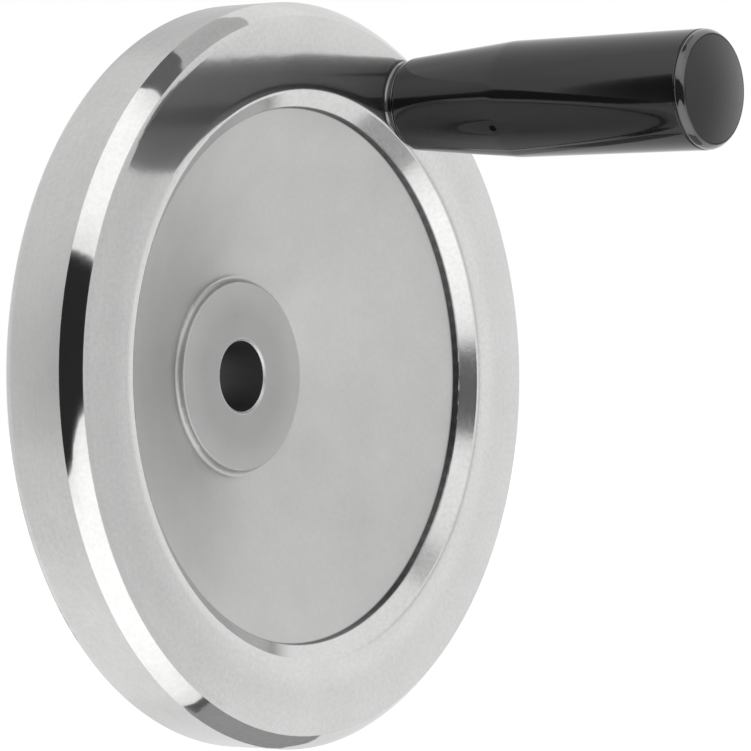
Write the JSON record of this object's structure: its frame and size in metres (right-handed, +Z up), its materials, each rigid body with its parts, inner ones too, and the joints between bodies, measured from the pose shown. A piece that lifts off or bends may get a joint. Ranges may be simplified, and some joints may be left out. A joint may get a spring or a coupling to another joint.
{
  "type": "machine handwheel",
  "caption": "Dished aluminium disc handwheel with a plain shaft bore and a tapered black revolving grip on the front of the rim.",
  "frame": {"origin": "middle of the shaft bore, on its axis and halfway along the hub", "axes": "+Y along the shaft bore toward the machine, -Y out of the front of the wheel along the grip, +Z up, grip between +Z and +X"},
  "size_m": [0.125, 0.0963, 0.125],
  "materials": {
    "wheel_aluminium": "polished rim, satin side and fine blasted web",
    "spindle_steel": "bright zinc plated",
    "washer_steel": "zinc plated",
    "ring_steel": "oiled spring steel",
    "sleeve_black": "gloss moulded",
    "cap_black": "satin moulded"
  },
  "bodies": {
    "wheel": {"wheel": "wheel_aluminium", "grip_spindle": "spindle_steel", "grip_washer": "washer_steel", "grip_retaining_ring": "ring_steel"},
    "grip": {"grip_sleeve": "sleeve_black", "grip_end_cap": "cap_black"}
  },
  "joints": [
    {"name": "grip_revolve", "type": "hinge", "parent": "wheel", "child": "grip", "pos_m": [0.02863, -0.05, 0.04672], "axis": [0, -1, 0], "continuous": true}
  ]
}
